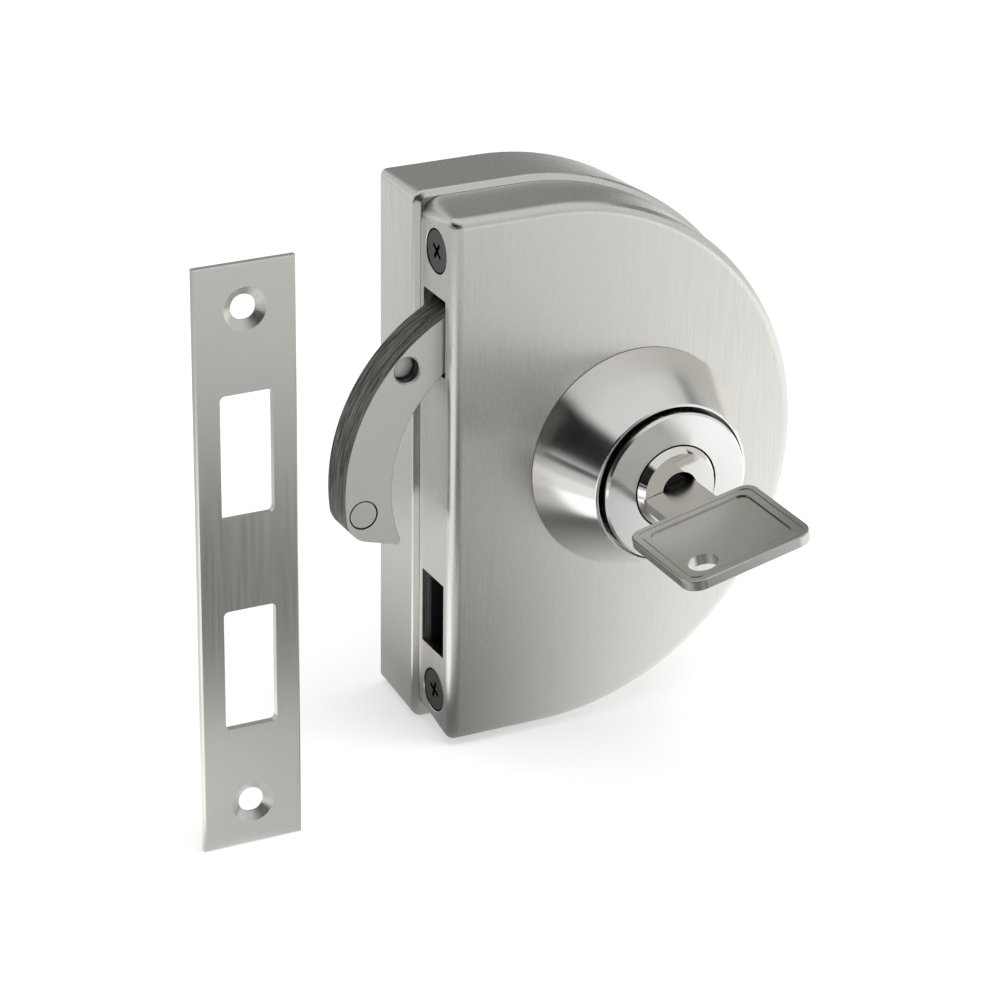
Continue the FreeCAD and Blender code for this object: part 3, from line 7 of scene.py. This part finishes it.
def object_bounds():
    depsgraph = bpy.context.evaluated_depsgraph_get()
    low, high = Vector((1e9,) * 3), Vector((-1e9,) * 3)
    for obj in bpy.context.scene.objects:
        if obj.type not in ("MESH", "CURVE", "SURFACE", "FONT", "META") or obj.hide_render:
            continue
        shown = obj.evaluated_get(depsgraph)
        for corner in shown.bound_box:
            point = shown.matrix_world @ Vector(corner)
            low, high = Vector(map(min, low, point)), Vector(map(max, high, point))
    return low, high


# A lock for a glass door, shown closed and off the door, with its hook bolt half out, its key in the
# cylinder and its strike plate standing beside it. The frame brings every piece from the drawing.
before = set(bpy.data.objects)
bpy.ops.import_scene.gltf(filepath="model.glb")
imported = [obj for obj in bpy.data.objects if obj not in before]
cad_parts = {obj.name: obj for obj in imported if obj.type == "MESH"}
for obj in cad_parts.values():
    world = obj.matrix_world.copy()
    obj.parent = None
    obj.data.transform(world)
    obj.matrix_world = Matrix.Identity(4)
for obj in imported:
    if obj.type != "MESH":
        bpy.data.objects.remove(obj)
cad_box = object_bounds()

# Camera: the photograph's long lens, to the left of the lock and above it, with a small roll of its own.
yaw = radians(26.69)
pitch = radians(24.31)
roll = radians(0.79)
target = Vector((0.01474, -0.005, -0.00841))
distance = 0.7333
ahead = Vector((sin(yaw) * cos(pitch), cos(yaw) * cos(pitch), -sin(pitch)))
level = Vector((cos(yaw), -sin(yaw), 0))
above = level.cross(ahead)
right = cos(roll) * level + sin(roll) * above
up = -sin(roll) * level + cos(roll) * above
lens = bpy.data.cameras.new("photograph")
lens.sensor_width = 36
lens.lens = 136.8
lens.clip_start = 0.05
camera = bpy.data.objects.new("photograph", lens)
bpy.context.scene.collection.objects.link(camera)
turn = Matrix((right, up, -ahead)).transposed().to_4x4()
camera.matrix_world = Matrix.Translation(target - distance * ahead) @ turn
bpy.context.scene.camera = camera
bpy.context.scene.view_settings.view_transform = "Standard"


# Table: white paper under the lock and the strike plate. It takes their shadows, and where nothing shades
# it the camera sees plain white. Metal sees it grey at the left, dark in a strip by the closing edge and
# white at the right, which gives the brushed faces their slow change from dark to light.
def linear(code):
    """sRGB hex to the linear colour that a shader takes."""
    steps = [int(code[i:i + 2], 16) / 255 for i in (1, 3, 5)]
    return [c / 12.92 if c <= 0.04045 else ((c + 0.055) / 1.055) ** 2.4 for c in steps] + [1]


def add(tree, kind, fed=None, **settings):
    """Adds a node: settings name its properties or inputs, and fed gives inputs a socket or a value."""
    node = tree.nodes.new("ShaderNode" + kind)
    for name, value in settings.items():
        words = name.replace("_", " ").title()
        if words in node.inputs:
            node.inputs[words].default_value = value
        else:
            setattr(node, name, value)
    for name, source in (fed or {}).items():
        if isinstance(source, bpy.types.NodeSocket):
            tree.links.new(source, node.inputs[name])
        else:
            node.inputs[name].default_value = source
    return node


def emptied(owner):
    """Turns on an owner's nodes and clears them."""
    owner.use_nodes = True
    owner.node_tree.nodes.clear()
    return owner.node_tree


def cards(tree, place, look, *stand):
    """Lays soft cards over a look: each has a middle, the radii where it is full and gone, and a tone."""
    for middle, full, gone, tone in stand:
        away = add(tree, "VectorMath", {0: place, 1: middle}, operation="DISTANCE")
        edge = add(tree, "MapRange", {"Value": away.outputs["Value"]}, interpolation_type="SMOOTHSTEP",
                   from_min=full, from_max=gone, to_min=1.0, to_max=0.0)
        look = add(tree, "Mix", {"Factor": edge.outputs[0], "A": look}, b=tone).outputs[0]
    return look


def by_ray(tree, plain, shiny, clear):
    """Shows one shader to lamps and matt surfaces, one to metal and one to the camera and glass."""
    ray = add(tree, "LightPath")
    metal_sees = add(tree, "MixShader", {"Fac": ray.outputs["Is Glossy Ray"], 1: plain, 2: shiny})
    glass_sees = add(tree, "MixShader", {"Fac": ray.outputs["Is Transmission Ray"],
                                         1: metal_sees.outputs[0], 2: clear})
    all_see = add(tree, "MixShader", {"Fac": ray.outputs["Is Camera Ray"],
                                      1: glass_sees.outputs[0], 2: clear})
    return all_see.outputs[0]


low = cad_box[0][2]
paper = bmesh.new()
bmesh.ops.create_grid(paper, x_segments=1, y_segments=1, size=6)
bmesh.ops.translate(paper, verts=paper.verts, vec=(0, 0, low))
ground_mesh = bpy.data.meshes.new("ground")
paper.to_mesh(ground_mesh)
paper.free()
ground = bpy.data.objects.new("ground", ground_mesh)
bpy.context.scene.collection.objects.link(ground)
white_paper = bpy.data.materials.new("white studio paper")
white_paper.cycles.emission_sampling = "NONE"
tree = emptied(white_paper)
matt = add(tree, "BsdfDiffuse", color=linear("#dcdcdb"))
fill = add(tree, "Emission", strength=0.42)
lit = add(tree, "AddShader", {0: matt.outputs[0], 1: fill.outputs[0]})
place = add(tree, "TexCoord").outputs["Object"]
along = add(tree, "VectorMath", {0: place, 1: (1, 0.5, 0)}, operation="DOT_PRODUCT").outputs["Value"]
left_part = add(tree, "MapRange", {"Value": along}, interpolation_type="SMOOTHSTEP",
                from_min=-0.06, from_max=-0.02, to_min=0.6, to_max=0.14)
right_part = add(tree, "MapRange", {"Value": along}, interpolation_type="SMOOTHSTEP",
                 from_min=-0.025, from_max=0.07, to_min=0.0, to_max=1.06)
whole = add(tree, "Math", {0: left_part.outputs[0], 1: right_part.outputs[0]}, operation="ADD")
# Cards on the table that only metal sees: a pale and a dim one for the closing edge, a row of three white
# ones for the bright line of the rear cover's rim, a dark one before the lock, and the dark far table.
edge_pale = ((-0.11, 0.05, low), 0.05, 0.11, 0.85)
rim_near = ((-0.05, 0.0, low), 0.025, 0.035, 1.3)
rim_middle = ((-0.095, -0.043, low), 0.025, 0.035, 1.3)
rim_far = ((-0.165, -0.075, low), 0.06, 0.08, 1.3)
before_lock = ((-0.05, -0.16, low), 0.05, 0.09, 0.1)
edge_dim = ((-0.062, 0.115, low), 0.02, 0.05, 0.4)
far_table = ((-1.6, 0.1, low), 0.9, 1.3, 0.05)
sheet = cards(tree, place, whole.outputs[0], edge_pale, rim_near, rim_middle, rim_far, before_lock, edge_dim,
              far_table)
shine = add(tree, "Emission", {"Strength": sheet})
seen = by_ray(tree, matt.outputs[0], shine.outputs[0], lit.outputs[0])
add(tree, "OutputMaterial", {"Surface": seen})
ground_mesh.materials.append(white_paper)

# Studio: a pale tent all round, which the camera sees as plain white. Only metal sees the cards in it: a
# grey one behind the lock, three dark ones from the left round to the camera, and a small dark one high at
# the right. They give the chromed cone and cylinder their light and dark sectors.
world = bpy.data.worlds.new("pale tent")
bpy.context.scene.world = world
world.cycles.sampling_method = "NONE"
tree = emptied(world)
tent = add(tree, "Background", strength=0.5)
white = add(tree, "Background", strength=1.0)
toward = add(tree, "TexCoord").outputs["Generated"]
plain_sky = 0.9
behind = ((0.41, 0.81, 0.41), 0.35, 0.75, 0.3)
at_left = ((-0.93, -0.05, 0.36), 0.30, 0.50, 0.01)
front_left = ((-0.76, -0.50, 0.35), 0.35, 0.55, 0.03)
camera_side = ((-0.33, -0.88, 0.33), 0.40, 0.55, 0.02)
high_right = ((0.80, 0.16, 0.58), 0.13, 0.25, 0.01)
room = cards(tree, toward, plain_sky, behind, at_left, front_left, camera_side, high_right)
mirror = add(tree, "Background", {"Strength": room})
seen = by_ray(tree, tent.outputs[0], mirror.outputs[0], white.outputs[0])
add(tree, "OutputWorld", {"Surface": seen})


# Lamps: three soft boxes that face the lock. Metal doesn't mirror them, and sees the tent in their place.
def soft_lamp(name, place, width, height, power):
    """Rectangular soft box, its power in watts."""
    data = bpy.data.lights.new(name, "AREA")
    data.shape = "RECTANGLE"
    data.size = width
    data.size_y = height
    data.energy = power
    lamp = bpy.data.objects.new(name, data)
    bpy.context.scene.collection.objects.link(lamp)
    lamp.location = place
    lamp.rotation_euler = (-Vector(place)).to_track_quat("-Z", "Y").to_euler()
    lamp.visible_glossy = False


soft_lamp("lamp above", (0.25, -0.15, 1.0), width=1.0, height=1.0, power=9)
soft_lamp("lamp at the left", (-0.9, 0.1, 0.5), width=0.5, height=0.6, power=1.5)
soft_lamp("lamp at the right", (0.9, -0.6, 0.3), width=0.4, height=0.8, power=3)


# Covers: stainless steel sheet, deep drawn and then brushed up and down, which leaves a satin face with
# fine upright lines that stretch every highlight sideways. The lines are really about 0.05 mm apart, and
# are drawn 0.3 mm apart so that they show. The rings round the edge screws are painted near black, as
# painted shade for the gaps round the screw heads.
def metal(name, code, roughness):
    """Bare or plated metal."""
    material = bpy.data.materials.new(name)
    tree = emptied(material)
    skin = add(tree, "BsdfPrincipled", base_color=linear(code), metallic=1.0, roughness=roughness)
    add(tree, "OutputMaterial", {"Surface": skin.outputs[0]})
    return material, tree, skin


def grain(tree, skin, steps, change, depth):
    """Marks of a tool: steps are their spacing along X, Y and Z and depth their relief, all in metres."""
    where = add(tree, "TexCoord")
    stretch = add(tree, "Mapping", {"Vector": where.outputs["Object"]}, scale=[1 / step for step in steps])
    marks = add(tree, "TexNoise", {"Vector": stretch.outputs[0]}, scale=1.0, detail=4.0, roughness=0.6)
    middle = skin.inputs["Roughness"].default_value
    spread = add(tree, "MapRange", {"Value": marks.outputs["Fac"]}, from_min=0.3, from_max=0.7,
                 to_min=middle * (1 - change), to_max=middle * (1 + change))
    tree.links.new(spread.outputs[0], skin.inputs["Roughness"])
    relief = add(tree, "Bump", {"Height": marks.outputs["Fac"]}, strength=1.0, distance=depth)
    tree.links.new(relief.outputs[0], skin.inputs["Normal"])
    return marks.outputs["Fac"]


def brushing(tree, skin, pull):
    """Spreads highlights across the brushing: sideways on the faces, front to back on the walls."""
    normal = add(tree, "NewGeometry").outputs["True Normal"]
    facing = add(tree, "SeparateXYZ", {0: normal}).outputs["Y"]
    flat = add(tree, "Math", {0: facing}, operation="ABSOLUTE").outputs[0]
    face = add(tree, "Math", {0: flat, 1: 0.7}, operation="GREATER_THAN").outputs[0]
    # A Mix node's vector inputs are its sockets 4 and 5, and its colour inputs are 6 and 7.
    across = add(tree, "Mix", {"Factor": face, 4: (0, 1, 0), 5: (1, 0, 0)}, data_type="VECTOR")
    skin.inputs["Anisotropic"].default_value = pull
    tree.links.new(across.outputs[1], skin.inputs["Tangent"])


def painted_shade(tree, skin, middle, plane, reach, line, depth, play, code):
    """Paints shade: darkens what lies within reach of an axis, on both halves of the lock, and near a depth
    along it.
    """
    place = add(tree, "TexCoord").outputs["Object"]
    mirrored = add(tree, "VectorMath", {0: place}, operation="ABSOLUTE").outputs[0]
    across = add(tree, "VectorMath", {0: mirrored, 1: plane}, operation="MULTIPLY").outputs[0]
    far = add(tree, "VectorMath", {0: across, 1: middle}, operation="DISTANCE").outputs["Value"]
    near = add(tree, "Math", {0: far, 1: reach}, operation="LESS_THAN").outputs[0]
    along = add(tree, "SeparateXYZ", {0: place}).outputs[line]
    deep = add(tree, "Math", {0: along, 1: depth, 2: play}, operation="COMPARE").outputs[0]
    both = add(tree, "Math", {0: near, 1: deep}, operation="MULTIPLY").outputs[0]
    unshaded_colour = skin.inputs["Base Color"].default_value[:]
    shade_mix = add(tree, "Mix", {"Factor": both, 6: unshaded_colour, 7: linear(code)}, data_type="RGBA")
    tree.links.new(shade_mix.outputs[2], skin.inputs["Base Color"])


def dress(material, *names):
    """Gives a material to CAD pieces."""
    for name in names:
        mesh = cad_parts[name].data
        mesh.materials.clear()
        mesh.materials.append(material)


satin, tree, skin = metal("brushed stainless steel", "#e2e0db", 0.28)
grain(tree, skin, (0.0003, 0.0003, 0.015), change=0.12, depth=0.000001)
brushing(tree, skin, pull=0.85)
edge_screw = (0, 0.00658, 0.04556)
# Painted shade: near black in the gap round each edge screw head.
painted_shade(tree, skin, edge_screw, plane=(0, 1, 1), reach=0.00442, line="X", depth=0.00085, play=0.00075,
       code="#0a0a0a")
dress(satin, "front_cover", "rear_cover")

# Case: steel plates, pillars, blocks and posts, stamped or turned, zinc plated and riveted together. The
# plating is dull, with faint clouds, and its grey is painted darker than the plating, as painted shade for
# the inside of the case.
zinc, tree, skin = metal("zinc plated steel", "#6f7275", 0.45)
grain(tree, skin, (0.002, 0.002, 0.002), change=0.25, depth=0.000004)
dress(zinc, "case_front_plate", "case_back_plate", "case_pillars", "edge_screw_blocks", "hook_pivot_pin",
      "idler_stud", "clamp_plate", "clamp_posts", "plug_clip", "spring_strip")

# Screws: turned steel screws with a cross or hexagon recess, which hold the closing edge, the clamp, the
# cylinder and the drive gear. They are chemically blackened, which gives them a dull sheen.
blackened, tree, skin = metal("blackened steel screw", "#5a5955", 0.34)
grain(tree, skin, (0.0004, 0.0004, 0.0004), change=0.3, depth=0.000004)
dress(blackened, "edge_screws", "clamp_screws", "cylinder_screws", "drive_gear_screw")

# Hook bolt: five blanked steel plates riveted in a pack. Their faces are ground to an even pale grey, and
# their blanked edges are left dark, with long streaks along the edge of each plate.
ground_steel, tree, skin = metal("ground steel plate", "#f4f2ee", 0.5)
grain(tree, skin, (0.0008, 0.0008, 0.0008), change=0.1, depth=0.0000005)
facing = add(tree, "SeparateXYZ", {0: add(tree, "NewGeometry").outputs["Normal"]})
flat = add(tree, "Math", {0: facing.outputs["Y"]}, operation="ABSOLUTE")
edge = add(tree, "MapRange", {"Value": flat.outputs[0]}, from_min=0.4, from_max=0.8, to_min=1.0, to_max=0.0)
torn = add(tree, "BsdfPrincipled", metallic=1.0, roughness=0.45)
streaks = grain(tree, torn, (0.006, 0.0003, 0.006), change=0.2, depth=0.00002)
shade = add(tree, "MapRange", {"Value": streaks}, from_min=0.4, from_max=0.65, to_min=0.0, to_max=1.0)
worn = add(tree, "Mix", {"Factor": shade.outputs[0], 6: linear("#3a3937"), 7: linear("#96938e")},
           data_type="RGBA")
tree.links.new(worn.outputs[2], torn.inputs["Base Color"])
both = add(tree, "MixShader", {"Fac": edge.outputs[0], 1: skin.outputs[0], 2: torn.outputs[0]})
tree.links.new(both.outputs[0], tree.nodes["Material Output"].inputs[0])
dress(ground_steel, "hook_plate_1", "hook_plate_2", "hook_plate_3", "hook_plate_4", "hook_plate_5")

# Pins and rivets of the hook: turned steel, hardened, set and ground like the faces round them, so they
# show only as fine rings.
hardened, tree, skin = metal("hardened steel", "#f2f0ec", 0.45)
grain(tree, skin, (0.0005, 0.0005, 0.0005), change=0.2, depth=0.000002)
dress(hardened, "hook_hardened_pin", "hook_eye_pin", "hook_rivets", "hook_gear_rivets")

# Gears: cut from steel plate and hardened, riveted to the hook, turning on a stud or screwed to the plug.
# They are oiled, which turns them brownish grey.
oiled, tree, skin = metal("oiled gear steel", "#b3ada4", 0.3)
grain(tree, skin, (0.001, 0.001, 0.001), change=0.3, depth=0.000003)
dress(oiled, "hook_gear", "idler_gear", "drive_gear")


# Cylinder, its plug and the escutcheon cone: turned brass, nickel and chrome plated. The turning lines run
# round the axis, so light and dark gather into sectors; they are really about 0.05 mm apart, and are drawn
# 0.4 mm apart. The ring round the plug and the recess of the keyhole are painted dark, as painted shade
# for the gap and the recess.
def turned_lines(tree, skin, middle, pull, step, depth):
    """Spreads highlights away from an axis along Y, and adds fine rings round it."""
    where = add(tree, "TexCoord").outputs["Object"]
    out = add(tree, "VectorMath", {0: where, 1: middle}, operation="SUBTRACT")
    level_out = add(tree, "VectorMath", {0: out.outputs[0], 1: (1, 0, 1)}, operation="MULTIPLY")
    skin.inputs["Anisotropic"].default_value = pull
    tangent = add(tree, "VectorTransform", {0: level_out.outputs[0]}, vector_type="VECTOR",
                  convert_from="OBJECT", convert_to="WORLD")
    tree.links.new(tangent.outputs[0], skin.inputs["Tangent"])
    radius = add(tree, "VectorMath", {0: level_out.outputs[0]}, operation="LENGTH")
    rings = add(tree, "TexNoise", {"W": radius.outputs["Value"]}, noise_dimensions="1D", scale=1 / step,
                detail=2.0)
    relief = add(tree, "Bump", {"Height": rings.outputs["Fac"]}, strength=1.0, distance=depth)
    tree.links.new(relief.outputs[0], skin.inputs["Normal"])


key_axis = (0.0393, 0, 0)
cone_plate, tree, skin = metal("satin chrome plate", "#f0eeeb", 0.16)
turned_lines(tree, skin, key_axis, pull=0.7, step=0.0004, depth=0.0000005)
dress(cone_plate, "escutcheon_cone")
face_plate, tree, skin = metal("polished chrome plate", "#f7f6f4", 0.18)
turned_lines(tree, skin, key_axis, pull=0.9, step=0.0004, depth=0.0000005)
# Painted shade: near black in the gap ring round the plug.
painted_shade(tree, skin, key_axis, plane=(1, 0, 1), reach=0.0087, line="Y", depth=-0.0299, play=0.00025,
       code="#0a0a0a")
dress(face_plate, "cylinder_body")
plug_plate, tree, skin = metal("polished nickel plate", "#f2f0ec", 0.07)
turned_lines(tree, skin, key_axis, pull=0.6, step=0.0004, depth=0.0000005)
# Painted shade: dark in the keyhole's recess.
painted_shade(tree, skin, key_axis, plane=(1, 0, 1), reach=0.0037, line="Y", depth=-0.0306, play=0.0011,
       code="#2c2b29")
dress(plug_plate, "plug")

# Pins, bush and springs: the cylinder's pins and the hook's bush are drawn brass, and the springs that
# press the pins down are wound from steel wire. Both are smooth and bright.
brass, tree, skin = metal("drawn brass", "#c9a75e", 0.3)
grain(tree, skin, (0.0004, 0.0004, 0.004), change=0.2, depth=0.000002)
dress(brass, "driver_pins", "key_pins", "hook_bush")
wire, tree, skin = metal("spring steel wire", "#9b9c9e", 0.3)
grain(tree, skin, (0.0003, 0.0003, 0.0003), change=0.2, depth=0.000002)
dress(wire, "driver_springs")

# Key: blanked and coined from nickel silver and tumbled, which leaves a soft, faintly yellowish grey satin.
# It stands in the plug, turns it, and draws out along its own length.
silver, tree, skin = metal("coined nickel silver", "#ceccc7", 0.26)
grain(tree, skin, (0.0006, 0.0006, 0.0006), change=0.05, depth=0.0000001)
dress(silver, "key")

# Gaskets: black rubber sheet, cut to shape, one between each half of the clamp and the glass. It is matt,
# with a faint pebbled face.
rubber = bpy.data.materials.new("black rubber sheet")
tree = emptied(rubber)
skin = add(tree, "BsdfPrincipled", base_color=linear("#1b1b1b"), roughness=0.7)
add(tree, "OutputMaterial", {"Surface": skin.outputs[0]})
grain(tree, skin, (0.0005, 0.0005, 0.0005), change=0.1, depth=0.00001)
dress(rubber, "front_gasket", "rear_gasket")

# Strike plate: stainless sheet, laser cut, countersunk and brushed along its length, with fine upright
# lines like those of the covers.
sheet_steel, tree, skin = metal("brushed stainless sheet", "#e6e4df", 0.34)
grain(tree, skin, (0.0004, 0.0004, 0.02), change=0.2, depth=0.000001)
brushing(tree, skin, pull=0.85)
dress(sheet_steel, "strike_plate")
